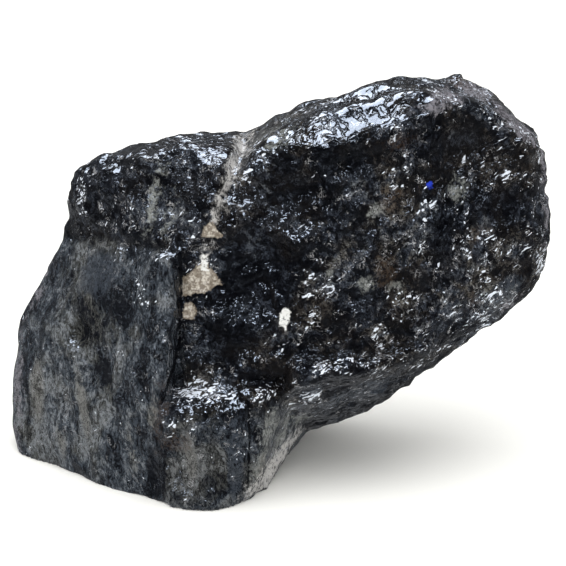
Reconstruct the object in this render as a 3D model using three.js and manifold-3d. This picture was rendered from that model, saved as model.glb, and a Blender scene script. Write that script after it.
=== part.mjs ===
// Rough morion: one lump of near-black smoky quartz, broken on every side, that stands on a flat broken foot.
// Its right half leans out over the ground. Millimetres: X runs along the stone, Y goes into it from its best
// face, Z is up, and the origin is the middle of the face that it stands on.
import * as THREE from "three";
import { ConvexGeometry } from "three/addons/geometries/ConvexGeometry.js";
import { TessellateModifier } from "three/addons/modifiers/TessellateModifier.js";
import { mergeVertices } from "three/addons/utils/BufferGeometryUtils.js";
import Module from "manifold-3d";

// ---- The blocks that make up the lump. Each is the hull of its corners, and all of them are joined.

const SUNK = -5; // the blocks run on below the ground, and the standing face is cut level afterwards

// The slab at the lower left: a tall streaked face, turned to the left, that stands proud of the head.
const LEFT_SLAB = [
  [-47, -0.5, SUNK], [-29.5, -16, SUNK], [-16, -29.5, SUNK], [-6, -36, SUNK], // foot of the face
  [-50, 4, 8.5], [-49.5, 8, 20.5], [-46.5, 11, 35.5], [-34, 8, 61], // left rim
  [-38.5, -9, 7], [-35, -5, 41], // where the rim turns into the face
  [-20.5, -11, 64.5], [-9, -23, 65.5], [0.5, -31, 64.5], // top edge of the face
  [1.5, -33.5, 54.5], [-1, -36, 43], [-4.5, -38, 32.5], [-5.5, -38, 20.5], // its right edge, a step down
  [-50, 32, SUNK], [-28, 43, SUNK], [8, 42, SUNK], // back, on the ground
  [-40.5, 36, 25.5], [-35.5, 36, 50.5], [0, 42, 52], // back
];

// The shoulder above the slab, set back from it, with a flat grey top.
const SHOULDER = [
  [-34.5, 9, 60], [-32, 6, 70], [-28, 3, 81.5], [-23, 1, 86.5], // left rim
  [-15.5, 4, 88], [-6, 9, 88.5], [5, 14, 89.5], [16, 16, 89.5], // top, at the back
  [-20.5, -9, 83], [-7, -15, 87.5], [5, -15, 90], [16, -15, 91.5], // top, at the front
  [-25, -4, 63.5], [-19, -11, 63.5], [-7, -21, 63], [1, -27, 63], // foot of its face
  [10.5, -27, 71], [12, -25.5, 79], [14, -22.5, 88], // right edge, a pale vein
  [-30.5, 34, 54], [-21, 34, 70.5], [0.5, 38, 77.5], [15.5, 38, 80.5], [15, 42, 46], // back
];

// The head: the big right half, which rises to the right and leans out over the ground.
const HEAD = [
  [16, 14, 89.5], [32.5, -6, 98.5], [41, -8, 103], [53, -6, 107.5], [60, -2, 108], [79.5, 8, 105.5], // top
  [85, 6, 103], [92.5, 3, 96.5], [99.5, 1, 88.5], [101.5, 0, 81.5], [102, 0, 64.5], // right rim
  [99, -1, 52.5], [93, -1, 44], [80.5, -1, 33], [66.5, 0, 21.5], [57, 2, 15], [34.5, 8, 3.5], // overhang
  [20, -17, 90], [33.5, -23, 94], [45.5, -25, 96], [63.5, -22, 100], [73, -18, 102.5], // crest, top
  [83.5, -14, 100.5], [93, -10, 89.5], [96.5, -8.5, 78], [96.5, -9, 63], [90, -12, 49.5], // crest, right
  [78.5, -17, 43], [67.5, -22, 38], [49, -29, 35], [32.5, -31, 37], [19.5, -32, 32], [2, -31, 32], // low edge
  [1, -28, 53], [1, -25, 62.5], [12.5, -20, 82], // left edge, behind the slab and the shoulder
  [21, 40, 74], [41.5, 36, 82], [67, 27, 91.5], [85.5, 21, 83.5], [93.5, 15, 67.5], [90, 15, 50], // back
  [76.5, 17, 34.5], [45, 28, 9.5], [33, 34, 4], [15, 46, 32.5], // back, lower down
  [-7, 32, 36], [-6.5, 20, 15], [-5, 30, 49], // left end, inside the slab
];

// The belt: a ledge along the foot of the head, and under it a bevel that looks down at the ground.
const BELT = [
  [32.5, -35, 35], [41, -35, 33.5], [49.5, -34, 34.5], [59, -29.5, 37.5], [67.5, -25, 39], // lip of the ledge
  [30, -35, 31], [27, -25, 25.5], [33, -4, 8], [44, 0, 11.5], // bevel, left
  [57, 0, 16], [66.5, -2, 22.5], [72, -3, 27], // bevel, right
  [31.5, -30, 37], [33, 0, 36.5], [60.5, 0, 39.5], // top, inside the head
];

// The foot: a squared block at the front that carries the stone, with a ledge on top.
const FOOT = [
  [-2, -30, 30], [16.5, -30, 32.5], [28, -31, 29], // back of the ledge
  [-4, -39, 25.5], [2.5, -41, 24], [16.5, -42, 26.5], [19, -39.5, 29], // lip of the ledge
  [17.5, -41, 13], [30, -27, 27], [34, -6, 10.5], // right side
  [-6, -36, SUNK], [-0.5, -41.5, SUNK], [6.5, -44, SUNK], [13, -41.5, SUNK], [16.5, -39.5, SUNK], // front
  [18, -31.5, SUNK], [19, -22, SUNK], [22.5, -2, SUNK], [27, 20, SUNK], [35, 34, SUNK], // right side
  [-4, 42.5, SUNK], [28, 41, SUNK], [3.5, 30, 24.5], [33, 30, 12], // back
];

// The knob: a small brown lump on the crown.
const KNOB = [
  [71, 5, 104.5], [72.5, 6, 106.5], [75, 7, 107.5], [77, 7, 107], [77.5, 4, 103.5],
  [73.5, -2, 102.5], [70.5, 0, 102.5], [80, 12, 100.5], [73, 15, 101.5],
];

const BLOCKS = [LEFT_SLAB, SHOULDER, HEAD, BELT, FOOT, KNOB];

// The hollows that large flakes have left: balls that bite into the blocks.
const HOLLOWS = [
  { middle: [16, -54, 64], radius: 30 }, // beside the slab, in the best face
  { middle: [27, -45, 85], radius: 24 }, // above it
  { middle: [-30, -15, 40], radius: 6 }, // a pit in the slab
  { middle: [88, -51, 91], radius: 40 }, // the rippled scar at the right
  { middle: [109, -4, 75], radius: 9 }, // a nick in the right rim
  { middle: [56, 20, -8], radius: 25 }, // under the overhang
  { middle: [38, 62, 62], radius: 28 }, // in the back
  { middle: [-24, 58, 46], radius: 24 }, // in the back of the slab
];

// ---- The broken surface, as heights in mm above or below the blocks' sides.

const WANDER = { spacing: 11, amount: 1.2, salts: [1, 2, 3] }; // how far the blocks' edges stray
const SWELL = { spacing: 24, amount: 0.4, salt: 11 }; // long soft swells
const SCARS = { spacing: 13, bowl: 14, lean: 0.3, mean: 1.25, amount: 0.55, salt: 20 }; // flake scars

const FACET = 7.2; // longest side of a triangle
const DIVISIONS = 12; // the most times that a side is halved to reach that
const BALL_DETAIL = 3; // how finely the balls that bite are divided
const SAME_PLACE = 1e-4; // corners nearer to each other than this are one

const GROUND = 400; // side of the block of ground that is cut away, more than the stone's length

const COLOUR = 0x1d1e22;
const ROUGHNESS = 0.3;

// A fixed scramble of three whole numbers and a salt, from 0 to 1.
function scramble(i, j, k, salt) {
  let h = Math.imul(i, 374761393) + Math.imul(j, 668265263) + Math.imul(k, 1274126177);
  h = (h + Math.imul(salt, 974711)) | 0;
  h ^= h >>> 15;
  h = Math.imul(h, 2246822519);
  h ^= h >>> 13;
  h = Math.imul(h, 3266489917);
  h ^= h >>> 16;
  return (h >>> 0) / 2 ** 32;
}

// Smooth noise from -1 to 1: the scrambled values of the cell's eight corners, blended.
function noise(point, spacing, salt) {
  const cell = point.clone().divideScalar(spacing).floor();
  const part = point.clone().divideScalar(spacing).sub(cell);
  const ease = (f) => f * f * (3 - 2 * f);
  const weight = [ease(part.x), ease(part.y), ease(part.z)];
  let sum = 0;
  for (let corner = 0; corner < 8; corner++) {
    const step = [corner & 1, (corner >> 1) & 1, corner >> 2];
    const share = step.reduce((product, s, axis) => product * (s ? weight[axis] : 1 - weight[axis]), 1);
    sum += share * scramble(cell.x + step[0], cell.y + step[1], cell.z + step[2], salt);
  }
  return 2 * sum - 1;
}

// The lowest of many leaning bowls, one around a scattered point of every cell: scars between sharp ridges.
function scars(point, { spacing, bowl, lean, salt }) {
  const cell = point.clone().divideScalar(spacing).floor();
  const away = new THREE.Vector3();
  const tilt = new THREE.Vector3();
  let lowest = Infinity;
  for (let near = 0; near < 27; near++) {
    const i = cell.x + (near % 3) - 1;
    const j = cell.y + (Math.floor(near / 3) % 3) - 1;
    const k = cell.z + Math.floor(near / 9) - 1;
    const chance = [0, 1, 2, 3, 4, 5].map((draw) => scramble(i, j, k, salt + draw));
    away.set(i + chance[0], j + chance[1], k + chance[2]).multiplyScalar(-spacing).add(point);
    tilt.set(chance[3], chance[4], chance[5]).subScalar(0.5).multiplyScalar(2 * lean);
    lowest = Math.min(lowest, away.lengthSq() / (2 * bowl) + away.dot(tilt));
  }
  return lowest;
}

const wasm = await Module();
wasm.setup();

// A closed geometry as a solid that can be joined and cut, and a solid as a geometry again.
function toSolid(geometry) {
  const bare = geometry.clone();
  bare.deleteAttribute("normal");
  bare.deleteAttribute("uv");
  const merged = mergeVertices(bare, SAME_PLACE);
  const vertProperties = new Float32Array(merged.getAttribute("position").array);
  const triVerts = new Uint32Array(merged.index.array);
  return new wasm.Manifold(new wasm.Mesh({ numProp: 3, vertProperties, triVerts }));
}

function toGeometry(solid) {
  const { vertProperties, triVerts } = solid.getMesh();
  const geometry = new THREE.BufferGeometry();
  geometry.setAttribute("position", new THREE.BufferAttribute(vertProperties, 3));
  geometry.setIndex(new THREE.BufferAttribute(triVerts, 1));
  return geometry;
}

// All the blocks joined and bitten into, with their sides divided finely enough to be broken up.
function joinedBlocks() {
  const hullOf = (corners) => new ConvexGeometry(corners.map((corner) => new THREE.Vector3(...corner)));
  const ballOf = ({ middle, radius }) =>
    new THREE.IcosahedronGeometry(radius, BALL_DETAIL).translate(...middle);
  const joined = BLOCKS.map(hullOf).map(toSolid).reduce((sum, block) => sum.add(block));
  const bitten = HOLLOWS.map(ballOf).map(toSolid).reduce((left, ball) => left.subtract(ball), joined);
  const divided = new TessellateModifier(FACET, DIVISIONS).modify(toGeometry(bitten));
  return mergeVertices(divided, SAME_PLACE);
}

// The broken surface: every point strays a little, then moves out or in by the swells and the flake scars.
function breakUp(geometry) {
  geometry.computeVertexNormals();
  const places = geometry.getAttribute("position");
  const normals = geometry.getAttribute("normal");
  const point = new THREE.Vector3();
  const outward = new THREE.Vector3();
  for (let i = 0; i < places.count; i++) {
    point.fromBufferAttribute(places, i);
    outward.fromBufferAttribute(normals, i);
    const stray = WANDER.salts.map((salt) => noise(point, WANDER.spacing, salt) * WANDER.amount);
    const swell = noise(point, SWELL.spacing, SWELL.salt) * SWELL.amount;
    const scar = (scars(point, SCARS) - SCARS.mean) * SCARS.amount;
    point.add(new THREE.Vector3(...stray)).addScaledVector(outward, swell + scar);
    places.setXYZ(i, point.x, point.y, point.z);
  }
  return geometry;
}

// The lump with everything below the ground cut away, which leaves the face that it stands on.
function standing(lump) {
  const ground = new THREE.BoxGeometry(GROUND, GROUND, GROUND).translate(0, 0, -GROUND / 2);
  return toGeometry(toSolid(lump).subtract(toSolid(ground)));
}

const stone = new THREE.Mesh(
  standing(breakUp(joinedBlocks())),
  new THREE.MeshStandardMaterial({ color: COLOUR, roughness: ROUGHNESS, metalness: 0, flatShading: true }),
);
stone.name = "morion";

const part = new THREE.Group();
part.add(stone);

export default part;
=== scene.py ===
import itertools
from types import SimpleNamespace

import bpy
import numpy as np
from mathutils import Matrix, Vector


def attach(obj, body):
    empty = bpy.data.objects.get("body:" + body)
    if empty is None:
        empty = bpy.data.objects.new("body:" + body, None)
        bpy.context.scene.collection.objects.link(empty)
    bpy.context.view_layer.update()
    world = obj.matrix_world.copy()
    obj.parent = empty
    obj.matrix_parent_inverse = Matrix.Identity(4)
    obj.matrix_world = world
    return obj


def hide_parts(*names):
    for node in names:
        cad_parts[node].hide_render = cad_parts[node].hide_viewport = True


# Rough morion: one lump of near-black smoky quartz that stands on a flat broken foot. Lengths in the lists
# are millimetres, in the part's own frame: X runs along the stone, Y goes into it from its best face, Z is
# up.

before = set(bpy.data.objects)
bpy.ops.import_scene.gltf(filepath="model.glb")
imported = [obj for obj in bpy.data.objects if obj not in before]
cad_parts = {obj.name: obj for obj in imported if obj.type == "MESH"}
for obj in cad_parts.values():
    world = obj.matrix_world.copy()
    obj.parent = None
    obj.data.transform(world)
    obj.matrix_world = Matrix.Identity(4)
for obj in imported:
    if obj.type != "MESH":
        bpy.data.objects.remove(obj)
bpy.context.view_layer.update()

MM = 0.001

# ---- The blocks that make up the lump. Each is the hull of its corners, and the stone is all of them joined.

SUNK = -5  # the blocks run on below the ground, and the standing face is level with it

LEFT_SLAB = [
    [-47, -0.5, SUNK], [-29.5, -16, SUNK], [-16, -29.5, SUNK], [-6, -36, SUNK],  # foot of the face
    [-50, 4, 8.5], [-49.5, 8, 20.5], [-46.5, 11, 35.5], [-34, 8, 61],  # left rim
    [-38.5, -9, 7], [-35, -5, 41],  # where the rim turns into the face
    [-20.5, -11, 64.5], [-9, -23, 65.5], [0.5, -31, 64.5],  # top edge of the face
    [1.5, -33.5, 54.5], [-1, -36, 43], [-4.5, -38, 32.5], [-5.5, -38, 20.5],  # its right edge, a step down
    [-50, 32, SUNK], [-28, 43, SUNK], [8, 42, SUNK],  # back, on the ground
    [-40.5, 36, 25.5], [-35.5, 36, 50.5], [0, 42, 52],  # back
]
SHOULDER = [
    [-34.5, 9, 60], [-32, 6, 70], [-28, 3, 81.5], [-23, 1, 86.5],  # left rim
    [-15.5, 4, 88], [-6, 9, 88.5], [5, 14, 89.5], [16, 16, 89.5],  # top, at the back
    [-20.5, -9, 83], [-7, -15, 87.5], [5, -15, 90], [16, -15, 91.5],  # top, at the front
    [-25, -4, 63.5], [-19, -11, 63.5], [-7, -21, 63], [1, -27, 63],  # foot of its face
    [10.5, -27, 71], [12, -25.5, 79], [14, -22.5, 88],  # right edge, a pale vein
    [-30.5, 34, 54], [-21, 34, 70.5], [0.5, 38, 77.5], [15.5, 38, 80.5], [15, 42, 46],  # back
]
HEAD = [
    [16, 14, 89.5], [32.5, -6, 98.5], [41, -8, 103],  # top rim, left
    [53, -6, 107.5], [60, -2, 108], [79.5, 8, 105.5],  # top rim, right
    [85, 6, 103], [92.5, 3, 96.5], [99.5, 1, 88.5], [101.5, 0, 81.5], [102, 0, 64.5],  # right rim
    [99, -1, 52.5], [93, -1, 44], [80.5, -1, 33],  # overhang's rim, right
    [66.5, 0, 21.5], [57, 2, 15], [34.5, 8, 3.5],  # overhang's rim, left
    [20, -17, 90], [33.5, -23, 94], [45.5, -25, 96], [63.5, -22, 100], [73, -18, 102.5],  # crest, top
    [83.5, -14, 100.5], [93, -10, 89.5], [96.5, -8.5, 78], [96.5, -9, 63], [90, -12, 49.5],  # crest, right
    [78.5, -17, 43], [67.5, -22, 38], [49, -29, 35],  # low edge, right
    [32.5, -31, 37], [19.5, -32, 32], [2, -31, 32],  # low edge, left
    [1, -28, 53], [1, -25, 62.5], [12.5, -20, 82],  # left edge, behind the slab and the shoulder
    [21, 40, 74], [41.5, 36, 82], [67, 27, 91.5], [85.5, 21, 83.5], [93.5, 15, 67.5], [90, 15, 50],  # back
    [76.5, 17, 34.5], [45, 28, 9.5], [33, 34, 4], [15, 46, 32.5],  # back, lower down
    [-7, 32, 36], [-6.5, 20, 15], [-5, 30, 49],  # left end, inside the slab
]
BELT = [
    [32.5, -35, 35], [41, -35, 33.5], [49.5, -34, 34.5],  # lip of the ledge, left
    [59, -29.5, 37.5], [67.5, -25, 39],  # lip of the ledge, right
    [30, -35, 31], [27, -25, 25.5], [33, -4, 8], [44, 0, 11.5],  # bevel, left
    [57, 0, 16], [66.5, -2, 22.5], [72, -3, 27],  # bevel, right
    [31.5, -30, 37], [33, 0, 36.5], [60.5, 0, 39.5],  # top, inside the head
]
FOOT = [
    [-2, -30, 30], [16.5, -30, 32.5], [28, -31, 29],  # back of the ledge
    [-4, -39, 25.5], [2.5, -41, 24], [16.5, -42, 26.5], [19, -39.5, 29],  # lip of the ledge
    [17.5, -41, 13], [30, -27, 27], [34, -6, 10.5],  # right side
    [-6, -36, SUNK], [-0.5, -41.5, SUNK], [6.5, -44, SUNK], [13, -41.5, SUNK], [16.5, -39.5, SUNK],  # front
    [18, -31.5, SUNK], [19, -22, SUNK], [22.5, -2, SUNK],  # right side, on the ground, at the front
    [27, 20, SUNK], [35, 34, SUNK],  # right side, on the ground, at the back
    [-4, 42.5, SUNK], [28, 41, SUNK], [3.5, 30, 24.5], [33, 30, 12],  # back
]
KNOB = [
    [71, 5, 104.5], [72.5, 6, 106.5], [75, 7, 107.5], [77, 7, 107], [77.5, 4, 103.5],
    [73.5, -2, 102.5], [70.5, 0, 102.5], [80, 12, 100.5], [73, 15, 101.5],
]
BLOCKS = {"slab": LEFT_SLAB, "shoulder": SHOULDER, "head": HEAD, "belt": BELT, "foot": FOOT, "knob": KNOB}

# Hollows left by large flakes: the middle and the radius of each ball that bites into the blocks.
HOLLOWS = [
    ([16, -54, 64], 30),  # beside the slab, in the best face
    ([27, -45, 85], 24),  # above it
    ([-30, -15, 40], 6),  # a pit in the slab
    ([88, -51, 91], 40),  # the rippled scar at the right
    ([109, -4, 75], 9),  # a nick in the right rim
    ([56, 20, -8], 25),  # under the overhang
    ([38, 62, 62], 28),  # in the back
    ([-24, 58, 46], 24),  # in the back of the slab
]

# ---- The net that is laid over the stone.

HEART = np.array([25.8, 0.2, 49.6])  # deep inside the stone, in the head block
LOOK_DOWN = np.radians(15.0)  # the best face is seen from a little above
LEAN = np.radians(24.0)  # the stone's long way rises by this much to the right
BOX_HALF = np.array([80.0, 15.0, 56.0])  # along the long way, into the stone, across the long way
BOX_ROUNDING = 5.0  # the power of the rounded box: 2 is a ball, and more is nearer to a box
PLATE_HALF = np.array([54.0, 32.0])  # of the flat oval plate that the rays leave, which faces the best side
NET = (222, 34, 158)  # divisions of the net, in the same order as BOX_HALF
BLOCK_SMOOTHINGS = 2  # passes that soften the edges between the blocks
SHARE_SMOOTHINGS = 5  # passes that blend one block's skin into the next

RIGHT = np.array([1.0, 0.0, 0.0])
INTO = np.array([0.0, np.cos(LOOK_DOWN), -np.sin(LOOK_DOWN)])
RISE = np.array([0.0, np.sin(LOOK_DOWN), np.cos(LOOK_DOWN)])
ALONG = np.cos(LEAN) * RIGHT + np.sin(LEAN) * RISE
ACROSS = np.cos(LEAN) * RISE - np.sin(LEAN) * RIGHT

# ---- The broken skin, as heights in mm above or below the blocks' sides.

WANDERS = [(11, 1.2, 1), (4.5, 0.6, 4)]  # how the blocks' edges stray: spacing, amount, first salt
SWELL_SPACING = 24
SWELL_HEIGHT = 0.4
SWELL_SALT = 11

# Flake scars: how far apart they lie, the radius of their bowls, how far they lean, the salt of their
# draws, how much of their height is used, and how much more of it where the skin faces up.
LARGE_SCARS = (13, 14, 0.30, 20, 0.55, 0.0)
MIDDLE_SCARS = (5.4, 5.0, 0.50, 40, 0.60, 0.20)
SMALL_SCARS = (2.8, 2.8, 0.50, 60, 0.55, 0.25)
SLAB_SCARS = (3.6, 5.0, 0.30, 80, 0.40, 0.0)
GLASSY_SCARS = (5.0, 9.0, 0.42, 100, 1.0, 0.0)
SMALL_GLASSY_SCARS = (2.4, 5.0, 0.42, 120, 0.55, 0.0)
UPRIGHT = (1, 1, 0.45)  # squeezes a place, so that the slab's scars are long and upright

SCAR_LIMIT = 2.2  # no scar rises or sinks by more than this
LEVELLINGS = 80  # passes of smoothing that find the level from which the scars are measured

# The share by which the scars are lower on some parts.
SLAB_CALM = 0.7
SHOULDER_CALM = 0.3
GLASSY_CALM = 0.5  # of the large scars alone
MARKED_CALM = 0.2  # in dark parts, and in blue ones
RIPPLED_CALM = 0.35
SIDE_CALM = 0.4  # on skin that faces neither the front nor the back

FACES_UP = (0.25, 0.6)  # parts of the normal along Z between which skin comes to face up
FACES_OUT = (0.1, 0.5)  # and along Y, to face the front or the back
GLASSY_FROM = (88, 94)  # the heights between which the glassy top begins, at this X and with this rise
GLASSY_X = 35
GLASSY_RISE = 0.12

# The ripples of the big scar.
RIPPLE_SOURCE = np.array([95.0, -8.0, 66.0])  # where the break began
RIPPLE_SPACING = 4.6
RIPPLE_HEIGHT = 1.3
RIPPLE_CLIMB = 0.72  # the share of each ripple that climbs
RIPPLE_DROP = 0.28  # and the share that drops
RIPPLE_WAVERS = [(10, 2.0, 91), (4, 0.7, 92)]  # how the rings stray: spacing, amount, salt
RIPPLE_FROM = (2, 8)  # they begin between these distances from the source
RIPPLE_TO = (38.0, 0.7 * 38.0)  # and are gone at the first of these, and whole at the second
RIPPLE_LOW = (50, 62)  # they begin between these heights
RIPPLE_PATCHES = (12, 93)  # spacing and salt of the patches that they show in
RIPPLE_COVER = 0.8  # how strong they are midway in the patches
RING_RADIUS = 20.0  # one radian round the source counts as this far

# ---- Marks on the stone: middle, half-sizes along X, Y and Z, and the lean in the best face, if any.

CREAM_CHIPS = [  # outlines in the best face, X and Z of each corner, told anticlockwise
    [(1.2, 53.4), (12.3, 56.2), (7.4, 63.6), (1.3, 58.4)],
    [(6.0, 69.3), (11.8, 68.6), (12.2, 69.6), (10.2, 73.0), (8.6, 73.6)],
    [(1.7, 48.0), (4.7, 47.2), (5.4, 51.2), (3.2, 52.6), (1.6, 51.0)],
]
WHITE_CHIPS = [
    [(27.2, 46.4), (28.6, 45.2), (30.3, 47.6), (29.7, 50.4), (28.4, 51.2), (27.0, 49.6)],
    [(5.8, 60.4), (8.6, 60.0), (8.2, 62.8), (7.3, 65.2), (6.5, 62.6)],
]
PALE_VEINS = [
    ([17, -5, 90.5], [1.5, 12, 3], -15),
    ([14.6, -17, 86], [1, 9, 6], -17),
    ([11.6, -23, 78], [0.7, 9, 7.5], -17),
    ([26, -24, 5.6], [3.4, 19, 9], -62),
]
BROWN_STAINS = [
    ([56, -24, 79], [3.4, 8, 3.4]),
    ([55, -25, 60], [3.6, 8, 5], 10),
    ([80, -15, 67], [3, 8, 2.2]),
    ([79, -16, 50], [2.4, 8, 3.4], 30),
    ([-4, -38, 25], [2.2, 9, 9.5], -6),
    ([76, 4, 106], [5, 9, 2.6]),
    ([0, -40, 18], [5, 8, 4]),
    ([23, -34, 8], [2.6, 9, 4]),
    ([58, -20, 94], [5, 9, 3]),
]
MISTY_PARTS = [
    ([7, -30, 42], [7, 8, 4]),
    ([62, -19, 96], [7, 9, 8]),
    ([52, -26, 68], [19, 14, 22]),
    ([4, -40, 14], [6, 10, 13]),
    ([28, -22, 14], [9, 20, 16]),
    ([83, -14, 54], [16, 12, 12], 30),
    ([-32, -12, 16], [22, 16, 22]),
    ([-4, -20, 74], [11, 12, 8]),
    ([74, -18, 54], [14, 12, 9], 20),
]
# Blue parts: smooth facets where a painted blue-grey sheen stands in for the pale floor's reflection; the
# scars are lower there too.
BLUE_SHEEN_PARTS = [
    ([88, -11, 51], [8, 10, 6], 40),
    ([48, -22, 22], [20, 16, 9], 25),
    ([15.5, -40, 13], [3, 9, 18]),
    ([-22, -13, 56], [15, 12, 8], 15),
]
DARK_PARTS = [
    ([-20, -14, 45], [14, 12, 15]),
    ([27, -23, 80], [11, 10, 12]),
    ([21, -27, 58], [13, 14, 21]),
    ([-27, -11, 39], [5.5, 9, 5]),
    ([-20, -20, 31], [3.5, 9, 6.5], 25),
    ([-14, -20, 48], [7, 9, 7]),
    ([-35, -4, 52], [4, 9, 8], -20),
    ([12, -31, 40], [10, 9, 4]),
    ([76, -16, 92], [9, 9, 6]),
    ([-5.5, -38, 9], [4.5, 9, 9]),
    ([10, -42, 6], [6, 9, 5.5]),
    ([86, -13, 74], [10, 10, 7], 20),
    ([69, -20, 69], [4.5, 9, 9]),
]
# Parts with more painted glints: bright flecks of painted highlight, more of them here.
PAINTED_GLINT_PARTS = [
    ([-4, -26, 65], [6.5, 9, 3.2]),
    ([8, -36, 29], [14, 12, 4]),
    ([-3, -28, 36], [3.5, 12, 3.5]),
    ([3, -41, 22.5], [8, 9, 4.5]),
    ([-9, -26, 54], [4, 12, 7]),
    ([19, -21, 84.5], [2.5, 12, 3.5]),
    ([24, -33, 29.5], [7, 12, 2.5]),
    ([-26, -4, 76], [4, 12, 9]),
    ([44, -31, 36], [12, 9, 3]),
]
FROSTED_RIM = [
    ([-47.5, 0, 20], [1.6, 12, 17]),
    ([-41, 3, 47], [1.3, 9, 9], -25),
    ([69, -12, 103], [8.5, 9, 2.4], 20),
    ([80, 0, 104], [5, 9, 3], -20),
    ([91, -7, 95.5], [9.5, 12, 2.2], -42),
    ([99, -3, 84], [1.2, 9, 6], 8),
    ([100, -2, 69], [1, 9, 5]),
    ([90, -9, 46], [3.5, 9, 2.4], 40),
]
PALE_BANDS = [
    ([-26, -17, 19], [2.6, 10, 17], 12),
    ([-41, -3, 20], [3.6, 9, 16], 4),
    ([-24, -10, 48], [2.4, 9, 14], 30),
    ([-6, -36, 26], [2.2, 9, 11], -5),
    ([-12, -28, 12], [2.2, 9, 12], 8),
    ([-33, -10, 8], [2.5, 9, 8], 10),
    ([-40, 0, 46], [2.4, 9, 14], -22),
    ([4, -42, 13], [2.8, 9, 9], 4),
]
PEWTER_PLATES = [
    ([24, -29, 19], [2.6, 14, 5], -10),
    ([27, -22, 12], [2.4, 14, 4], -30),
    ([29, -18, 18], [2.4, 12, 3], 20),
    ([-6, -19, 78], [1.8, 9, 8.5], -12),
    ([-2, -22, 73], [1, 9, 5], -20),
    ([27, -8, 93.5], [6.5, 12, 2.2], 22),
    ([52, -25, 75.5], [1.5, 7, 2.8], -10),
    ([49.6, -27, 57.4], [2.2, 7, 2]),
    ([57.4, -25, 55.6], [1.8, 7, 1.2], 20),
    ([40, -28, 60], [1.6, 7, 1.2], 30),
    ([74, -18, 80], [2.4, 7, 3], 20),
    ([90, -10, 50], [3, 7, 1.6], 40),
    ([22, -34, 10], [2.2, 12, 6.5], -20),
    ([33, -15, 16], [3.5, 12, 2], 30),
]
GLOSSY_PARTS = [
    ([-27, -2, 76], [6, 12, 12]),
    ([-4, -25, 66], [8, 9, 4]),
    ([7, -36, 29], [17, 12, 5]),
    ([46, -33, 36], [20, 8, 4], 5),
    ([92, -11, 56], [9, 10, 7], 40),
    ([24, -29, 40], [16, 8, 5]),
]
# A painted highlight: a tiny blue glint painted into the colour.
PAINTED_BLUE_GLINT_MARKS = [([66.5, -21, 82], [1.3, 6, 1.1], 20), ([67.1, -21, 81.2], [1.1, 6, 0.9])]

# Cracks in the best face: X and Z of the corners of each, and how wide and how deep it is.
CRACKS = [
    ([(1.0, 68), (1.2, 55), (0.6, 41), (-1.2, 34), (-4, 27)], 0.8, 1.2),
    ([(19.0, 28.5), (19.3, 18), (18.6, 3)], 0.8, 0.85),
]

WELL_INSIDE = 0.6  # a place is well inside an egg shape after this share of the way to its middle
OUTSIDE = -8.0  # the depth told for every place that is this far or farther outside a mark
CHIPPED_FRONT = -8.0  # the chips lie in front of this Y
CRACKED_FRONT = -2.0  # the cracks lie in front of this Y
FAR = 50.0  # the distance told for a place that no crack is near

TINY = 1e-9  # less than this counts as nothing
HULL_SLACK = 1e-6  # a corner this near to a plane lies on it
SIDE_DIGITS = 5  # a hull's sides that agree to this many digits are one
SAME_POINT = 1e6  # points of the net that agree to one part in this many are one

# Large odd numbers that scramble whole ones.
MIX_AXES = (374761393, 668265263, 1274126177)
MIX_SALT = 974711
MIX_BITS = (2246822519, 3266489917)


def ease_in(values, low, high):
    """A smoothstep from 0 at low to 1 at high."""
    part = np.clip((values - low) / (high - low), 0, 1)
    return part * part * (3 - 2 * part)


def hull_sides(corners):
    """The flat sides of the hull of some corners: of all planes through three corners, those with all
    others on one side. Returns outward normals and their distances from the origin."""
    corners = np.array(corners, float)
    one, two, three = np.array(list(itertools.combinations(range(len(corners)), 3))).T
    foot = corners[one]
    normal = np.cross(corners[two] - foot, corners[three] - foot)
    size = np.linalg.norm(normal, axis=1)
    real = size > HULL_SLACK
    normal, foot = normal[real] / size[real, None], foot[real]
    distance = (normal * foot).sum(1)
    above = normal @ corners.T - distance[:, None]
    below_all = (above < HULL_SLACK).all(1)
    above_all = (above > -HULL_SLACK).all(1)
    normals = np.concatenate([normal[below_all], -normal[above_all]])
    distances = np.concatenate([distance[below_all], -distance[above_all]])
    sides = np.unique(np.round(np.column_stack([normals, distances]), SIDE_DIGITS), axis=0)
    return sides[:, :3], sides[:, 3]


def scramble(cells, salt):
    """A fixed scramble of each row of three whole numbers and a salt, from 0 to 1: the sum of each times a
    large odd number, with its upper bits folded over the lower ones and multiplied out, twice over."""
    i, j, k = cells.astype(np.int64).astype(np.uint32).T
    x, y, z = np.array(MIX_AXES, np.uint32)
    h = i * x + j * y + k * z + np.uint32(salt * MIX_SALT % 2**32)
    h ^= h >> np.uint32(15)
    h *= np.uint32(MIX_BITS[0])
    h ^= h >> np.uint32(13)
    h *= np.uint32(MIX_BITS[1])
    h ^= h >> np.uint32(16)
    return h / 2.0**32


def noise(places, spacing, salt):
    """Smooth noise from -1 to 1: the scrambled values of a cell's eight corners, blended by smoothsteps."""
    cells = np.floor(places / spacing)
    part = places / spacing - cells
    ease = part * part * (3 - 2 * part)
    total = np.zeros(len(places))
    for corner in itertools.product((0, 1), repeat=3):
        share = np.prod(np.where(corner, ease, 1 - ease), axis=1)
        total += share * scramble(cells + corner, salt)
    return 2 * total - 1


def scars(places, spacing, bowl, lean, salt):
    """Flake scars between sharp ridges, in mm: the lowest of many bowls, one around a scattered point of
    every cell. A bowl is distance squared over twice its radius, plus distance times a random lean."""
    cells = np.floor(places / spacing)
    lowest = np.full(len(places), np.inf)
    for near in itertools.product((-1, 0, 1), repeat=3):
        there = cells + near
        chance = np.stack([scramble(there, salt + draw) for draw in range(6)], axis=1)
        away = places - (there + chance[:, :3]) * spacing
        tilt = (chance[:, 3:] - 0.5) * 2 * lean
        lowest = np.minimum(lowest, (away * away).sum(1) / (2 * bowl) + (away * tilt).sum(1))
    return lowest - np.median(lowest)


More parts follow.
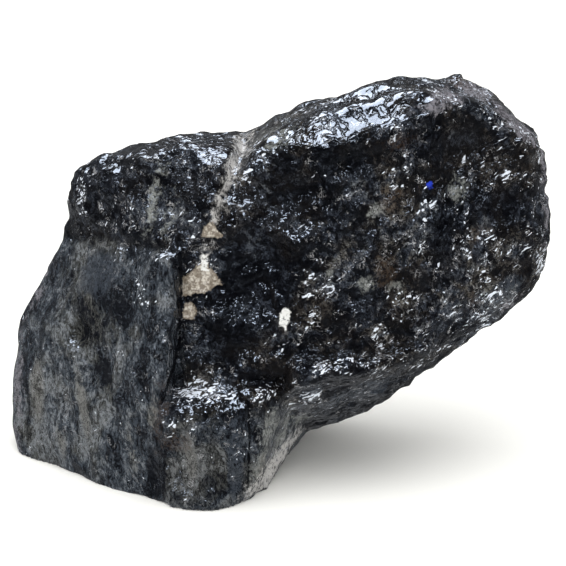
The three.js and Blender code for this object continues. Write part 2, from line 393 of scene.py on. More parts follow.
def closed_net(divisions):
    """The six faces of a box from -1 to 1 as one closed grid of squares, with its shared points merged."""
    points, squares, count = [], [], 0
    for axis in range(3):
        first, second = [a for a in range(3) if a != axis]
        rows, columns = divisions[first] + 1, divisions[second] + 1
        u, v = np.meshgrid(np.linspace(-1, 1, rows), np.linspace(-1, 1, columns), indexing="ij")
        for side in (-1, 1):
            face = np.zeros((rows, columns, 3))
            face[..., axis], face[..., first], face[..., second] = side, u, v
            index = count + np.arange(rows * columns).reshape(rows, columns)
            corners = [index[:-1, :-1], index[1:, :-1], index[1:, 1:], index[:-1, 1:]]
            square = np.stack(corners, axis=-1).reshape(-1, 4)
            outward = (side > 0) == (axis != 1)
            squares.append(square if outward else square[:, ::-1])
            points.append(face.reshape(-1, 3))
            count += rows * columns
    points = np.concatenate(points)
    keys = np.round((points + 1) * SAME_POINT).astype(np.int64)
    _, kept, merged = np.unique(keys, axis=0, return_index=True, return_inverse=True)
    return points[kept], merged.reshape(-1)[np.concatenate(squares)]


def rays_through(points):
    """A ray for each point of the net. The point is drawn onto a rounded box, and the ray runs through it
    from a flat oval plate inside the stone: straight out, or from the plate's rim if it lies past that."""
    power = (np.abs(points) ** BOX_ROUNDING).sum(1, keepdims=True) ** (1 / BOX_ROUNDING)
    guide = points / power * BOX_HALF
    spread = np.hypot(guide[:, 0] / PLATE_HALF[0], guide[:, 2] / PLATE_HALF[1])
    keep = np.minimum(1, 1 / np.maximum(spread, TINY))
    foot = np.column_stack([guide[:, 0] * keep, np.zeros(len(guide)), guide[:, 2] * keep])
    way = guide - foot
    way /= np.linalg.norm(way, axis=1, keepdims=True)
    turn = np.stack([ALONG, INTO, ACROSS])
    return HEART + foot @ turn, way @ turn


def reach_in(sides, start, way):
    """How far along each ray its last point inside a hull lies: the least crossing of the sides that the
    ray leaves by, or minus infinity where it misses the hull."""
    normals, distances = sides
    gap = distances - start @ normals.T
    closing = way @ normals.T
    with np.errstate(divide="ignore", invalid="ignore"):
        crossing = gap / closing
    leave = np.where(closing > TINY, crossing, np.inf).min(1)
    enter = np.where(closing < -TINY, crossing, -np.inf).max(1)
    missed = (enter >= leave) | (leave <= 0) | ((np.abs(closing) <= TINY) & (gap < 0)).any(1)
    return np.where(missed, -np.inf, leave)


def bitten_reach(reach, start, way):
    """The reach cut back to where its ray enters a ball, for each ball that holds the ray's end. A ray
    meets a ball at the two roots of a square equation, and enters it at the lesser one."""
    for middle, radius in HOLLOWS:
        from_middle = start - np.array(middle, float)
        along = (from_middle * way).sum(1)
        square = along**2 - (from_middle**2).sum(1) + radius**2
        half = np.sqrt(np.maximum(square, 0))
        inside = (square > 0) & (-along - half < reach) & (reach < -along + half)
        reach = np.where(inside, -along - half, reach)
    return reach


def gathered(weights, squares, count):
    """The sum, at each of a count of points, of the weights of the squares around it."""
    return sum(np.bincount(squares[:, c], weights=weights, minlength=count) for c in range(4))


def spread_out(values, squares, times):
    """Each point's value replaced, several times over, by the mean of the squares around it."""
    count = len(values)
    around = np.bincount(squares.ravel(), minlength=count)
    for _ in range(times):
        values = gathered(values[squares].mean(1), squares, count) / around
    return values


def to_ground(reach, start, way):
    """The reach cut back to the ground, which gives the stone the flat face that it stands on."""
    down = np.minimum(way[:, 2], -TINY)
    return np.where(way[:, 2] < -TINY, np.minimum(reach, -start[:, 2] / down), reach)


def outward_normals(points, squares):
    """The mean normal of the squares around each point, from the cross product of their diagonals."""
    a, b, c, d = (points[squares[:, k]] for k in range(4))
    face = np.cross(c - a, d - b)
    total = np.stack([gathered(face[:, axis], squares, len(points)) for axis in range(3)], axis=1)
    return total / np.maximum(np.linalg.norm(total, axis=1, keepdims=True), TINY)


def glassy_top(place, facing_up):
    """How much a place is part of the glassy top: above a line that rises to the right, and facing up."""
    return ease_in(place[:, 2] - GLASSY_RISE * (place[:, 0] - GLASSY_X), *GLASSY_FROM) * facing_up


def rippled_part(place):
    """How strongly the big scar's ripples show: near where the break began but not at it, not low down, and
    in the patches of a smooth noise."""
    away = np.linalg.norm(place - RIPPLE_SOURCE, axis=1)
    near = ease_in(away, *RIPPLE_TO) * ease_in(away, *RIPPLE_FROM)
    patches = np.clip(RIPPLE_COVER + noise(place, *RIPPLE_PATCHES), 0, 1)
    return near * ease_in(place[:, 2], *RIPPLE_LOW) * patches


def ring_place(place):
    """Places told by the big scar's rings, in mm: distance from the source, way round it, and depth."""
    away = place - RIPPLE_SOURCE
    round_it = np.arctan2(away[:, 2], -away[:, 0]) * RING_RADIUS
    return np.column_stack([np.linalg.norm(away, axis=1), round_it, place[:, 1]])


def ripples(place):
    """Ribs of a shell-like break, as heights in mm: a wave of the distance from the source, which wavers by
    two smooth noises. Going out, each rib climbs slowly and drops in a short steep side."""
    away = ring_place(place)[:, 0]
    for spacing, amount, salt in RIPPLE_WAVERS:
        away = away + noise(place, spacing, salt) * amount
    saw = away / RIPPLE_SPACING - np.floor(away / RIPPLE_SPACING)
    rib = np.minimum(saw / RIPPLE_CLIMB, (1 - saw) / RIPPLE_DROP)
    return (rib - 0.5) * RIPPLE_HEIGHT * rippled_part(place)


def egg_reach(points, middle, halves, lean=0):
    """How far each point is from the middle of a leaning egg shape, as a share of the way to its skin: the
    root of the summed squares of its leaning coordinates, each over its half-size."""
    turn = np.radians(lean)
    away = points - np.array(middle, float)
    side = away[:, 0] * np.cos(turn) + away[:, 2] * np.sin(turn)
    up = away[:, 2] * np.cos(turn) - away[:, 0] * np.sin(turn)
    return np.sqrt((side / halves[0]) ** 2 + (away[:, 1] / halves[1]) ** 2 + (up / halves[2]) ** 2)


def depth_in(points, marks):
    """How deep each point lies inside the nearest of some egg shapes, in mm, and less than 0 outside them:
    1 less the share of the way to the skin, times the lesser half-size in the best face."""
    depths = [(1 - egg_reach(points, *mark)) * min(mark[1][0], mark[1][2]) for mark in marks]
    return np.maximum(np.max(depths, axis=0), OUTSIDE)


def depth_in_outline(points, outlines):
    """How deep each point of the best face lies inside the nearest of some outlines, in mm: the least
    distance inwards from an outline's sides, and less than 0 outside them all."""
    flat = points[:, [0, 2]]
    depths = []
    for outline in outlines:
        corners = np.array(outline, float)
        run = np.roll(corners, -1, axis=0) - corners
        inward = np.column_stack([-run[:, 1], run[:, 0]]) / np.linalg.norm(run, axis=1)[:, None]
        depths.append((flat @ inward.T - (corners * inward).sum(1)).min(1))
    return np.where(points[:, 1] < CHIPPED_FRONT, np.maximum(np.max(depths, axis=0), OUTSIDE), OUTSIDE)


def within(points, marks):
    """How far each point is inside the nearest egg shape: 0 outside, rising smoothly to 1 well inside."""
    return ease_in(1 - np.min([egg_reach(points, *mark) for mark in marks], axis=0), 0, WELL_INSIDE)


def far_from_crack(points, corners):
    """The distance in X and Z from each point of the best face to a crack: the least distance to its
    straight runs from corner to corner. Points behind the best face count as far away."""
    corners = np.array(corners, float)
    flat = points[:, [0, 2]]
    nearest = np.full(len(points), FAR)
    for start, end in zip(corners[:-1], corners[1:]):
        run = end - start
        part = np.clip((flat - start) @ run / (run @ run), 0, 1)
        nearest = np.minimum(nearest, np.linalg.norm(flat - start - part[:, None] * run, axis=1))
    return np.where(points[:, 1] < CRACKED_FRONT, nearest, FAR)


def skin_shares(place, squares, block, upward):
    """How much of each block a place is, from 0 to 1, blended over its neighbours; how much it faces up;
    how much it is glassy top; and how much it is roughly broken, as the slab and the top are less."""
    share = {name: spread_out((block == i) * 1.0, squares, SHARE_SMOOTHINGS) for i, name in enumerate(BLOCKS)}
    share["facing_up"] = ease_in(upward, *FACES_UP)
    share["glassy"] = glassy_top(place, share["facing_up"]) * share["head"]
    calm = (1 - SLAB_CALM * share["slab"]) * (1 - share["glassy"])
    share["broken"] = calm * (1 - SHOULDER_CALM * share["shoulder"])
    return share


def scar_relief(place, squares, share, inward):
    """Heights of the scars in mm: the sum of the kinds of scars, each times how much a place has of them,
    made lower on some parts, measured from its wide mean, and held within a limit by a hyperbolic
    tangent."""

    def cut(kind, part, squeeze=1):
        spacing, bowl, lean, salt, amount, more = kind
        return scars(place * squeeze, spacing, bowl, lean, salt) * (amount + more * share["facing_up"]) * part

    height = cut(LARGE_SCARS, (1 - SLAB_CALM * share["slab"]) * (1 - GLASSY_CALM * share["glassy"]))
    height += cut(MIDDLE_SCARS, share["broken"]) + cut(SMALL_SCARS, share["broken"])
    height += cut(SLAB_SCARS, share["slab"], UPRIGHT)
    height += cut(GLASSY_SCARS, share["glassy"]) + cut(SMALL_GLASSY_SCARS, share["glassy"])
    height *= 1 - MARKED_CALM * within(place, DARK_PARTS) - MARKED_CALM * within(place, BLUE_SHEEN_PARTS)
    height *= 1 - RIPPLED_CALM * rippled_part(place) * share["head"]
    height *= (1 - SIDE_CALM) + SIDE_CALM * ease_in(np.abs(inward), *FACES_OUT)
    height -= spread_out(height, squares, LEVELLINGS)
    return SCAR_LIMIT * np.tanh(height / SCAR_LIMIT)


def stray_along(place, axis):
    """How far the blocks' edges stray along an axis, in mm: a coarse and a fine smooth noise."""
    return sum(noise(place, spacing, salt + axis) * amount for spacing, amount, salt in WANDERS)


def stone_surface():
    """The stone's skin. Every point of the net goes along its ray to the farthest of the blocks, whose
    edges stray by smooth noise, less the flakes' hollows; then it moves out or in by the scars, long soft
    swells, ripples in the big scar and two cracks, which are bell-shaped grooves; and it stops at the
    ground. Returns points in mm, squares, and the skin's shares."""
    points, squares = closed_net(NET)
    start, way = rays_through(points)
    sides = [hull_sides(corners) for corners in BLOCKS.values()]
    plain = np.max([reach_in(side, start, way) for side in sides], axis=0)
    place = start + plain[:, None] * way
    stray = np.stack([stray_along(place, axis) for axis in range(3)], axis=1)
    reaches = np.stack([reach_in(side, start + stray, way) for side in sides])
    reach = spread_out(bitten_reach(reaches.max(0), start, way), squares, BLOCK_SMOOTHINGS)
    place = start + reach[:, None] * way

    normals = outward_normals(place, squares)
    share = skin_shares(place, squares, reaches.argmax(0), normals[:, 2])
    height = scar_relief(place, squares, share, normals[:, 1])
    height += noise(place, SWELL_SPACING, SWELL_SALT) * SWELL_HEIGHT
    height += ripples(place) * share["head"]
    for corners, width, depth in CRACKS:
        height -= depth * np.exp(-((far_from_crack(place, corners) / width) ** 2))
    reach = to_ground(reach + height, start, way)
    return start + reach[:, None] * way, squares, share


def finish_marks(points, share):
    """What the finish follows, by name, for every point: shares from 0 to 1, depths inside marks in mm, and
    the distance from the nearest crack over that crack's depth."""
    lively = share["facing_up"] * share["broken"] * (1 - 0.8 * share["shoulder"])
    from_cracks = [far_from_crack(points, corners) / depth for corners, _, depth in CRACKS]
    return {
        "streaky": np.maximum(share["slab"], 0.75 * share["foot"] * ease_in(points[:, 2], 27, 22)),
        "rippled": rippled_part(points) * share["head"],
        "glassy": share["glassy"],
        "glossy": np.maximum(within(points, GLOSSY_PARTS), lively),
        "cream": depth_in_outline(points, CREAM_CHIPS),
        "white": depth_in_outline(points, WHITE_CHIPS),
        "veined": depth_in(points, PALE_VEINS),
        "brown": depth_in(points, BROWN_STAINS),
        "pewter": depth_in(points, PEWTER_PLATES),
        "frosted": depth_in(points, FROSTED_RIM),
        "misty": within(points, MISTY_PARTS),
        "banded": within(points, PALE_BANDS),
        "painted_glint_share": within(points, PAINTED_GLINT_PARTS),
        "blue_sheen": within(points, BLUE_SHEEN_PARTS),
        "dark": within(points, DARK_PARTS),
        "cold": np.maximum(share["shoulder"], within(points, DARK_PARTS)) * 0.85,
        "from_crack": np.min(from_cracks, axis=0),
        "painted_blue_glint": depth_in(points, PAINTED_BLUE_GLINT_MARKS),
    }


def new_object(name, data):
    """A new object in the scene."""
    thing = bpy.data.objects.new(name, data)
    bpy.context.scene.collection.objects.link(thing)
    return thing


def make_stone():
    """The stone as one closed mesh, with an attribute for each thing that its finish follows."""
    points, squares, share = stone_surface()
    mesh = bpy.data.meshes.new("rough_stone")
    mesh.from_pydata(points * MM, [], squares)
    mesh.validate()
    for name, value in finish_marks(points, share).items():
        layer = mesh.attributes.new(name, "FLOAT", "POINT")
        layer.data.foreach_set("value", value.astype(np.float32))
    rings = mesh.attributes.new("ring_place", "FLOAT_VECTOR", "POINT")
    rings.data.foreach_set("vector", (ring_place(points) * MM).astype(np.float32).ravel())
    mesh.shade_smooth()
    return new_object("rough_stone", mesh)


class Nodes:
    """A node tree, with a short call for each kind of step in it."""

    def __init__(self, tree):
        self.tree = tree

    def feed(self, socket, value):
        """An input linked to another node's output, or given a value."""
        if isinstance(value, bpy.types.NodeSocket):
            self.tree.links.new(value, socket)
        else:
            socket.default_value = value

    def step(self, kind, inputs=(), **settings):
        """One node with its settings and its inputs."""
        node = self.tree.nodes.new(kind)
        for key, value in settings.items():
            setattr(node, key, value)
        for socket, value in dict(inputs).items():
            self.feed(node.inputs[socket], value)
        return node

    def math(self, operation, one, two=0.0, three=0.0):
        return self.step("ShaderNodeMath", {0: one, 1: two, 2: three}, operation=operation).outputs[0]

    def vector(self, operation, one, two):
        return self.step("ShaderNodeVectorMath", {0: one, 1: two}, operation=operation)

    def times(self, first, *others):
        """The product of some values."""
        for other in others:
            first = self.math("MULTIPLY", first, other)
        return first

    def most(self, first, *others):
        """The greatest of some values."""
        for other in others:
            first = self.math("MAXIMUM", first, other)
        return first

    def plus(self, total, *terms):
        """A total with terms added, each of them a value and its weight."""
        for value, weight in terms:
            total = self.math("MULTIPLY_ADD", value, weight, total)
        return total

    def without(self, share):
        """What a share from 0 to 1 leaves."""
        return self.math("SUBTRACT", 1.0, share)

    def off(self, value, middle=0.5):
        """How far a value is above a middle one."""
        return self.math("SUBTRACT", value, middle)

    def away(self, value, middle=0.5):
        """How far a value is from a middle one, either way."""
        return self.math("ABSOLUTE", self.off(value, middle))

    def between(self, value, low, high):
        """A smooth 0 to 1 as value goes from low to high."""
        inputs = {"Value": value, "From Min": low, "From Max": high}
        return self.step("ShaderNodeMapRange", inputs, interpolation_type="SMOOTHSTEP").outputs["Result"]


class Finish(Nodes):
    """A material's node tree."""

    def __init__(self, name):
        self.material = bpy.data.materials.new(name)
        self.material.use_nodes = True
        super().__init__(self.material.node_tree)
        self.tree.nodes.clear()
        self.shader = self.step("ShaderNodeBsdfPrincipled")
        self.step("ShaderNodeOutputMaterial", {"Surface": self.shader.outputs["BSDF"]})
        self.place = self.step("ShaderNodeTexCoord").outputs["Object"]
        self.marks = {}

    def mark(self, name):
        """An attribute of the piece's own mesh, from one node for each name."""
        if name not in self.marks:
            self.marks[name] = self.step("ShaderNodeAttribute", attribute_name=name).outputs["Fac"]
        return self.marks[name]

    def grain(self, size, detail, roughness, distortion, place=None):
        """Fractal noise with features of a size in metres, about 0 to 1."""
        inputs = {"Vector": place or self.place, "Scale": 1 / size, "Detail": detail}
        inputs |= {"Roughness": roughness, "Distortion": distortion}
        return self.step("ShaderNodeTexNoise", inputs).outputs["Fac"]

    def mixed(self, amount, one, two):
        """One colour turning into another by an amount."""
        node = self.step("ShaderNodeMix", {"Factor": amount}, data_type="RGBA")
        sockets = [s for s in node.inputs if s.type == "RGBA"]
        for socket, value in zip(sockets, (one, two)):
            self.feed(socket, (*value, 1.0) if isinstance(value, tuple) else value)
        return [s for s in node.outputs if s.type == "RGBA"][0]

    def turned(self, place, lean, stretch):
        """A place turned about Y by a lean in degrees, with its Z then divided by a stretch, so that a
        pattern on it runs along the leaning Z."""
        inputs = {"Vector": place, "Rotation": (0.0, np.radians(lean), 0.0), "Scale": (1.0, 1.0, stretch)}
        return self.step("ShaderNodeMapping", inputs, vector_type="TEXTURE").outputs[0]

    def chips(self, size, bowl, slope, place):
        """Heights in metres of small chip scars: distance squared over twice a bowl's radius, plus distance
        times a lean of each scar's own, up to a slope. The second value returned is the X part of the scar's
        lean plus a half, from 0 to 1 and the same all over a scar: it is higher where the scar faces more to
        the left."""
        cells = self.step("ShaderNodeTexVoronoi", {"Vector": place, "Scale": 1 / size}, feature="F1")
        away = self.vector("SUBTRACT", place, cells.outputs["Position"]).outputs[0]
        lean = self.vector("SUBTRACT", cells.outputs["Color"], (0.5, 0.5, 0.5)).outputs[0]
        rise = self.vector("DOT_PRODUCT", away, lean).outputs["Value"]
        square = self.vector("DOT_PRODUCT", away, away).outputs["Value"]
        own = self.step("ShaderNodeSeparateColor", {"Color": cells.outputs["Color"]}).outputs["Red"]
        return self.plus(self.math("DIVIDE", square, 2 * bowl), (rise, 2 * slope)), own

    def set(self, **values):
        """Values and links for the shader's own sockets."""
        for name, value in values.items():
            self.feed(self.shader.inputs[name.replace("_", " ")], value)


# ---- The finish: its colours, its patterns and its marks.

NIGHT = (0.0017, 0.0018, 0.0028)
SMOKE = (0.008, 0.0068, 0.0062)
SLATE = (0.043, 0.052, 0.065)
OLIVE = (0.056, 0.054, 0.045)
IRON = (0.006, 0.0068, 0.0092)
BLUE_TONE_AND_SHEEN = (0.044, 0.053, 0.068)
ASH = (0.195, 0.212, 0.232)
DUST = (0.185, 0.173, 0.148)
UMBER = (0.06, 0.037, 0.022)
TAN = (0.23, 0.185, 0.135)
CREAM = (0.62, 0.57, 0.49)
FROST = (0.5, 0.495, 0.505)
MURK_COLD = (0.036, 0.0425, 0.057)
MURK_WARM = (0.043, 0.037, 0.032)
LILAC = (0.23, 0.22, 0.245)
QUARTZ = (0.68, 0.66, 0.64)
PEWTER = (0.27, 0.28, 0.265)
# the white of the painted glints: a highlight painted into the colour
PAINTED_GLINT_WHITE = (0.78, 0.83, 0.92)
WHITE = (0.86, 0.86, 0.84)
PAINTED_BLUE_GLINT_COLOUR = (0.02, 0.05, 0.55)

# The patterns in the quartz: the size of the features in metres, and the noise's detail, roughness and
# distortion.
PATTERNS = {
    "cloud": (0.016, 6.0, 0.65, 0.6),
    "patch": (0.010, 3.0, 0.55, 0.0),
    "smoke": (0.0026, 10.0, 0.78, 0.6),
    "speck": (0.0011, 5.0, 0.80, 0.0),
    "hair": (0.0021, 4.0, 0.62, 0.6),
    "shatter": (0.0028, 3.0, 0.60, 0.0),
    "ragged": (0.0026, 6.0, 0.74, 0.0),
    "streak": (0.005, 12.0, 0.78, 0.5),
    "fibre": (0.001, 3.0, 0.60, 1.0),
    # spangle and stroke draw the painted glints: fine flecks and short bright strokes of painted highlight
    "spangle": (0.0007, 1.0, 0.50, 0.6),
    "stroke": (0.0012, 2.0, 0.50, 0.3),
    "furrow": (0.0034, 3.0, 0.55, 0.8),
    "crease": (0.006, 2.5, 0.50, 1.0),
    "grit": (0.0008, 2.0, 0.50, 0.0),
}
WAVER_SCALE = 260.0  # of the noise that shifts the patterns, so that no line in them is straight
WAVER = 0.0022  # how far it shifts them, in metres
SLAB_RUN = (-13, 2.2)  # the lean in degrees and the stretch of the slab's streaks and fibres,
SPANGLE_RUN = (58, 2.6)  # of the fine glints,
STROKE_RUN = (58, 4.0)  # and of the bright strokes
RING_RUN = (1.0, 0.30, 0.40)  # squeezes the rings' place, so that the furrows run round the rings
LARGE_CHIPS = (0.0026, 0.005, 0.20)  # size and radius in metres, and slope
SMALL_CHIPS = (0.0012, 0.004, 0.13)
RAGGED_EDGE = 9.0  # turns the ragged pattern into mm

FURROW_DEPTH = 0.0022  # in metres, for each 1 of the pattern, as are the next two
CREASE_DEPTH = 0.00045
GRIT_HEIGHT = 0.00001

# Marks painted on the skin: how ragged the edge is, the depths in mm between which the colour fades in, the
# specks that it keeps to, or None for all of the skin, how well it covers, and the colour.
PLATES = {
    "pewter": (1.30, (-0.4, 1.6), None, 0.85, PEWTER),
    "frosted": (1.10, (-0.4, 1.2), None, 0.85, LILAC),
}
STAINS_AND_VEINS = {
    "brown": (1.50, (-0.5, 2.2), (0.35, 0.65), 0.65, UMBER),
    "veined": (1.50, (-1.4, 1.6), (0.37, 0.50), 0.85, QUARTZ),
    "cream": (0.45, (-0.1, 0.15), None, 0.90, TAN),
}
CHIPS_CRACKS_AND_BLUE_GLINT = {
    "cream": (0.45, (0.1, 0.5), (0.46, 0.60), 1.0, CREAM),
    "white": (0.45, (-0.1, 0.3), (0.36, 0.46), 1.0, WHITE),
    "from_crack": (0.15, (0.55, 0.20), None, 1.0, NIGHT),
    # painted highlight: a tiny blue glint
    "painted_blue_glint": (0.20, (0.05, 0.40), (0.38, 0.50), 1.0, PAINTED_BLUE_GLINT_COLOUR),
}


def quartz_patterns(f):
    """The patterns that the finish is drawn with, by name: fractal noises, of which some run along the
    slab, across the best face or round the big scar's rings, and the small chip scars."""
    wander = f.step("ShaderNodeTexNoise", {"Vector": f.place, "Scale": WAVER_SCALE, "Detail": 2.0})
    shift = f.vector("SUBTRACT", wander.outputs["Color"], (0.5, 0.5, 0.5)).outputs[0]
    shifted = f.vector("MULTIPLY", shift, (WAVER, WAVER, WAVER)).outputs[0]
    place = f.vector("ADD", f.place, shifted).outputs[0]
    rings = f.step("ShaderNodeAttribute", attribute_name="ring_place").outputs["Vector"]
    along_slab = f.turned(place, *SLAB_RUN)
    places = {
        "streak": along_slab,
        "fibre": along_slab,
        "spangle": f.turned(place, *SPANGLE_RUN),
        "stroke": f.turned(place, *STROKE_RUN),
        "furrow": f.vector("MULTIPLY", rings, RING_RUN).outputs[0],
        "crease": place,
    }
    p = SimpleNamespace(**{name: f.grain(*row, place=places.get(name)) for name, row in PATTERNS.items()})
    p.ragged = f.times(f.off(p.ragged), RAGGED_EDGE)
    large_chips, large_chip_lean_x = f.chips(*LARGE_CHIPS, place)
    small_chips, small_chip_lean_x = f.chips(*SMALL_CHIPS, place)
    p.chips = f.math("ADD", large_chips, small_chips)
    # painted shading: a share that is high on chip scars that face left, so that the murk is painted lighter
    # there, as if lit
    p.shard = f.between(f.plus(small_chip_lean_x, (large_chip_lean_x, 0.6)), 0.45, 1.05)
    return p


def body_colour(f, p):
    """Near-black with smoky clouds. On the slab and the foot's face it is streaked instead: iron-black
    where the streaks are low, and slate or olive where they are high. Also returns the streaks."""
    misty, dark, banded = f.mark("misty"), f.mark("dark"), f.mark("banded")
    streaks = f.plus(p.streak, (f.off(p.cloud), 0.45), (f.off(p.fibre), 0.35), (misty, 0.03), (dark, -0.11))
    streaks = f.plus(streaks, (banded, 0.08))
    olive = f.times(f.between(f.plus(p.cloud, (banded, 0.10)), 0.48, 0.62), 0.8)
    streaked = f.mixed(f.between(streaks, 0.40, 0.51), IRON, f.mixed(olive, SLATE, OLIVE))
    smoky = f.mixed(f.between(p.cloud, 0.42, 0.66), NIGHT, SMOKE)
    return f.mixed(f.mark("streaky"), smoky, streaked), streaks


def clouded(f, p, colour, streaks):
    """A colour with murk in thick patches, shown mostly on chip scars that face left as painted shading, pale
    wisps where they are thickest, ash-grey or dusty, and the slab's highest streaks in the same pale tone.
    Also returns how much wisp there is."""
    streaky, banded = f.mark("streaky"), f.mark("banded")
    thick = f.plus(p.smoke, (p.patch, 0.50), (f.mark("misty"), 0.08), (f.mark("dark"), -0.03))
    # painted shading: the murk shows mostly on chip scars that face left
    haze = f.times(f.between(thick, 0.65, 0.89), f.without(streaky), f.plus(0.1, (p.shard, 0.9)))
    wisp = f.times(f.between(thick, 0.80, 1.00), f.between(p.speck, 0.43, 0.57))
    dusty = f.times(f.between(p.cloud, 0.45, 0.56), f.plus(1.0, (streaky, -0.9)), f.without(f.mark("cold")))
    dusty = f.most(dusty, f.times(banded, 0.6))
    tone = f.mixed(dusty, ASH, DUST)
    lined = f.times(f.between(streaks, 0.50, 0.63), streaky, 0.85)
    colour = f.mixed(haze, colour, f.mixed(dusty, MURK_COLD, MURK_WARM))
    colour = f.mixed(wisp, colour, tone)
    return f.mixed(lined, colour, tone), wisp


def painted(f, p, colour, marks):
    """A colour with marks painted over it. Each mark's depth is made ragged and turned into 0 to 1 between
    two depths, and keeps to the specks. Also returns how much of each mark there is, by name."""
    amounts = {}
    for name, (ragged, depths, specks, cover, paint) in marks.items():
        amount = f.between(f.plus(f.mark(name), (p.ragged, ragged)), *depths)
        if specks:
            amount = f.times(amount, f.between(p.speck, *specks))
        colour = f.mixed(f.times(amount, cover), colour, paint)
        amounts[name] = amount
    return colour, amounts


def smeared_and_pitted(f, p, colour):
    """A colour with blue-grey smears, partly a tone in the quartz and partly a painted reflection of the pale
    floor on the blue parts, and with black pits and a fine black net over them.
    """
    smear = f.plus(f.math("ADD", f.mark("blue_sheen"), p.cloud), (f.off(p.smoke), 3.0))
    # partly painted reflection: the blue-grey stands in for the pale floor's sheen on the blue parts
    colour = f.mixed(f.times(f.between(smear, 0.75, 1.45), 0.8), colour, BLUE_TONE_AND_SHEEN)
    pits = f.times(f.between(p.speck, 0.475, 0.43), f.plus(0.66, (f.mark("streaky"), -0.16)))
    crazing = f.times(f.between(f.away(p.fibre, 0.46), 0.030, 0.010), 0.9)
    return f.mixed(f.most(pits, crazing), colour, NIGHT)


def threads_and_painted_glints(f, p, colour):
    """A colour with frosty threads in crowds, and with painted glints: drifts of short bright strokes and
    fine flecks of painted highlight, which are rarer in dark parts and on the slab."""
    streaky, dark = f.mark("streaky"), f.mark("dark")
    crowd = f.plus(p.shatter, (p.patch, 0.40), (f.mark("misty"), 0.04), (dark, -0.20))
    threads = f.times(f.between(f.away(p.hair), 0.018, 0.004), f.between(crowd, 0.72, 0.86))
    colour = f.mixed(f.times(threads, f.plus(0.8, (streaky, -0.3))), colour, FROST)
    stroke = f.plus(p.stroke, (p.patch, 0.45), (f.mark("rippled"), 0.06), (dark, -0.20), (streaky, -0.12))
    glint = f.plus(p.spangle, (p.shatter, 0.7), (f.off(p.patch), 0.7), (dark, -0.20))
    glint = f.plus(glint, (f.mark("painted_glint_share"), 0.16), (f.mark("cold"), -0.05), (streaky, -0.05))
    # painted highlight: the strokes and the fine flecks are glints painted into the colour
    painted_glints = f.most(f.between(stroke, 0.935, 0.985), f.between(glint, 1.10, 1.15))
    return f.mixed(painted_glints, colour, PAINTED_GLINT_WHITE)


def quartz_roughness(f, p, wisp, amounts):
    """A low roughness, lower where the skin is glassy, glossy, rippled or dark, and higher on wisps, veins
    and cream chips."""
    dark = f.mark("dark")
    patchy = f.between(f.plus(p.patch, (dark, -0.3)), 0.56, 0.66)
    shine = f.most(f.mark("glassy"), f.mark("glossy"), f.mark("rippled"), patchy)
    rough = f.plus(0.19, (shine, -0.08), (wisp, 0.12), (dark, -0.04))
    rough = f.plus(rough, (amounts["veined"], 0.22), (amounts["cream"], 0.25))
    return f.most(f.math("SUBTRACT", rough, f.times(f.mark("glassy"), 0.05)), 0.0)


def quartz_relief(f, p):
    """Heights in metres finer than the mesh: small chip scars, lower on smooth parts, furrows round the
    rings of the big scar, creases on the glassy top, and grit."""
    glassy = f.mark("glassy")
    furrows = f.times(f.away(p.furrow), f.mark("rippled"), -FURROW_DEPTH)
    creases = f.times(f.between(f.away(p.crease), 0.06, 0.0), f.times(glassy, -CREASE_DEPTH))
    smooth = f.most(f.times(glassy, 0.90), f.times(f.mark("blue_sheen"), 0.5), f.times(f.mark("dark"), 0.2))
    height = f.times(p.chips, f.plus(0.75, (smooth, -0.75)))
    height = f.math("ADD", f.math("ADD", height, furrows), creases)
    return f.math("ADD", height, f.times(p.grit, GRIT_HEIGHT))


def morion_finish():
    """Near-black glassy quartz, painted in this order: smoky clouds, or slate and olive streaks on the
    slab; murk and wisps, with painted shading on the chip scars; pewter plates and a frosted rim;
    blue-grey smears, partly a painted reflection, pits and a black net; threads, and painted glints in
    strokes and flecks; brown stains, pale veins, cream and white chips, black cracks and a painted blue
    glint."""
    f = Finish("morion_quartz")
    p = quartz_patterns(f)
    colour, streaks = body_colour(f, p)
    colour, wisp = clouded(f, p, colour, streaks)
    colour, _ = painted(f, p, colour, PLATES)
    colour = smeared_and_pitted(f, p, colour)
    colour = threads_and_painted_glints(f, p, colour)
    colour, amounts = painted(f, p, colour, STAINS_AND_VEINS)
    colour, _ = painted(f, p, colour, CHIPS_CRACKS_AND_BLUE_GLINT)
    rough = quartz_roughness(f, p, wisp, amounts)
    bump = f.step("ShaderNodeBump", {"Strength": 1.0, "Distance": 1.0, "Height": quartz_relief(f, p)})
    f.set(Base_Color=colour, Roughness=rough, Normal=bump.outputs["Normal"], IOR=1.55)
    f.set(Specular_Tint=(0.72, 0.80, 0.92, 1.0))
    return f.material


# ---- The floor, the light and the camera.

FLOOR_HALF = 20.0
FLOOR_WHITE = (0.97, 0.965, 0.925, 1.0)

# The lamps: the way toward each one, how wide it is in degrees, and its strength.
SOFT_LAMPS = {  # they light the stone and the floor, and don't show in the gloss
    "soft_box": ((-0.18, -0.30, 1.0), 62, 1.30),
    "fill": ((0.0, 0.0, 1.0), 170, 3.0),
}
GLINT_LAMPS = {  # they only show in the gloss
    "top_glint": ((-0.15, 0.30, 0.93), 44, 7.6),
    "left_glint": ((-0.50, -0.85, 0.75), 8, 0.45),
    "right_glint": ((0.35, -0.75, 0.85), 8, 0.45),
}
SOFT_WHITE = (1.0, 1.0, 1.0)
GLINT_WHITE = (0.88, 0.93, 1.0)
ROOM_WHITE = (0.95, 0.97, 1.0, 1.0)

# The room's light: the axis that it fades in along, where it starts and ends, and its strength at both.
ROOM_FRONT_TO_BACK = ("Y", -0.2, 0.7, 0.01, 0.16)
ROOM_BELOW = ("Z", -0.05, -0.75, 0.0, 0.16)
ROOM_OVERHEAD = ("Z", 0.35, 0.9, 0.0, 0.16)

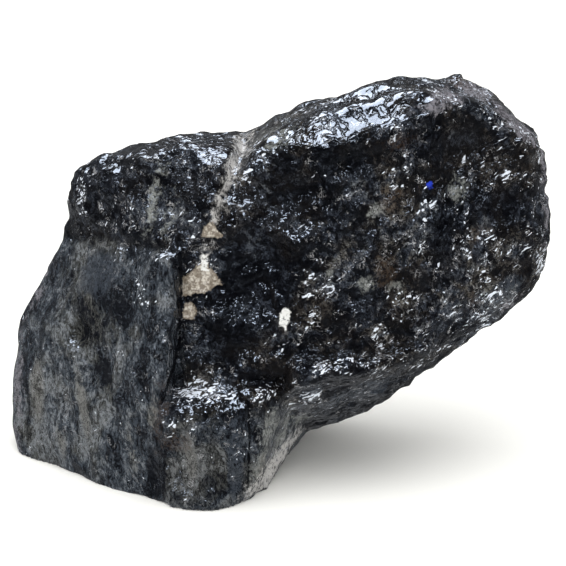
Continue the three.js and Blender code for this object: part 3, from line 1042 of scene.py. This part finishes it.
VIEW_DISTANCE = 0.5
TARGET = Vector((0.028, 0.0, 0.050))
SENSOR_WIDTH = 36.0
PICTURE = 566  # pixels across
SCALE = 0.150 / 540  # metres of stone to a pixel at the target


def make_floor():
    """A plain pale floor, wide enough to fill the view."""
    mesh = bpy.data.meshes.new("floor")
    corners = [(x * FLOOR_HALF, y * FLOOR_HALF, 0) for x, y in ((-1, -1), (1, -1), (1, 1), (-1, 1))]
    mesh.from_pydata(corners, [], [(0, 1, 2, 3)])
    floor = new_object("floor", mesh)
    f = Finish("floor_white")
    f.set(Base_Color=FLOOR_WHITE, Roughness=1.0, Specular_IOR_Level=0.0)
    mesh.materials.append(f.material)
    floor.visible_glossy = False


def make_lamp(name, toward, width, strength, glints):
    """A lamp far off in a direction, as wide as it is soft, that either shows as glints or lights
    things."""
    data = bpy.data.lights.new(name, "SUN")
    data.angle = np.radians(width)
    data.energy = strength
    data.color = GLINT_WHITE if glints else SOFT_WHITE
    lamp = new_object(name, data)
    lamp.visible_glossy = glints
    lamp.visible_diffuse = not glints
    lamp.rotation_mode = "QUATERNION"
    lamp.rotation_quaternion = Vector(toward).to_track_quat("Z", "Y")


def make_room():
    """A room that is dark in front, and pale behind, overhead and below, where the floor is: the sum of
    three smooth fades along the axes, times a soft clutter that keeps the gloss from being even."""
    world = bpy.data.worlds.new("room")
    bpy.context.scene.world = world
    world.use_nodes = True
    room = Nodes(world.node_tree)
    direction = room.step("ShaderNodeTexCoord").outputs["Generated"]
    axes = room.step("ShaderNodeSeparateXYZ", {0: direction}).outputs

    def fade(axis, start, end, low, high):
        inputs = {"Value": axes[axis], "From Min": start, "From Max": end, "To Min": low, "To Max": high}
        return room.step("ShaderNodeMapRange", inputs, interpolation_type="SMOOTHSTEP").outputs["Result"]

    upright = room.math("ADD", fade(*ROOM_BELOW), fade(*ROOM_OVERHEAD))
    light = room.math("ADD", fade(*ROOM_FRONT_TO_BACK), upright)
    clutter = room.step("ShaderNodeTexNoise", {"Vector": direction, "Scale": 2.6, "Detail": 1.5})
    spread = {"From Min": 0.35, "From Max": 0.65, "To Min": 0.2, "To Max": 1.8}
    uneven = room.step("ShaderNodeMapRange", {"Value": clutter.outputs["Fac"], **spread})
    strength = room.times(light, uneven.outputs["Result"])
    background = room.tree.nodes["Background"].inputs
    room.feed(background["Color"], ROOM_WHITE)
    room.feed(background["Strength"], strength)


def make_light():
    """A soft box above the stone and a little in front of it, and a fill from the whole sky; a wide pale
    glint behind and above and two small faint ones in front; and the room."""
    for name, lamp in SOFT_LAMPS.items():
        make_lamp(name, *lamp, glints=False)
    for name, lamp in GLINT_LAMPS.items():
        make_lamp(name, *lamp, glints=True)
    make_room()
    bpy.context.scene.view_settings.view_transform = "Standard"


def make_camera():
    """A long lens, a little above the stone, that looks along the best face's own direction."""
    data = bpy.data.cameras.new("camera")
    data.sensor_width = SENSOR_WIDTH
    data.lens = data.sensor_width * VIEW_DISTANCE / (PICTURE * SCALE)
    camera = new_object("camera", data)
    back = Vector((0, -np.cos(LOOK_DOWN), np.sin(LOOK_DOWN)))
    camera.location = TARGET + back * VIEW_DISTANCE
    camera.rotation_mode = "QUATERNION"
    camera.rotation_quaternion = back.to_track_quat("Z", "Y")
    bpy.context.scene.camera = camera


stone = make_stone()
stone.data.materials.append(morion_finish())
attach(stone, "root")
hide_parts("morion")
make_floor()
make_light()
make_camera()
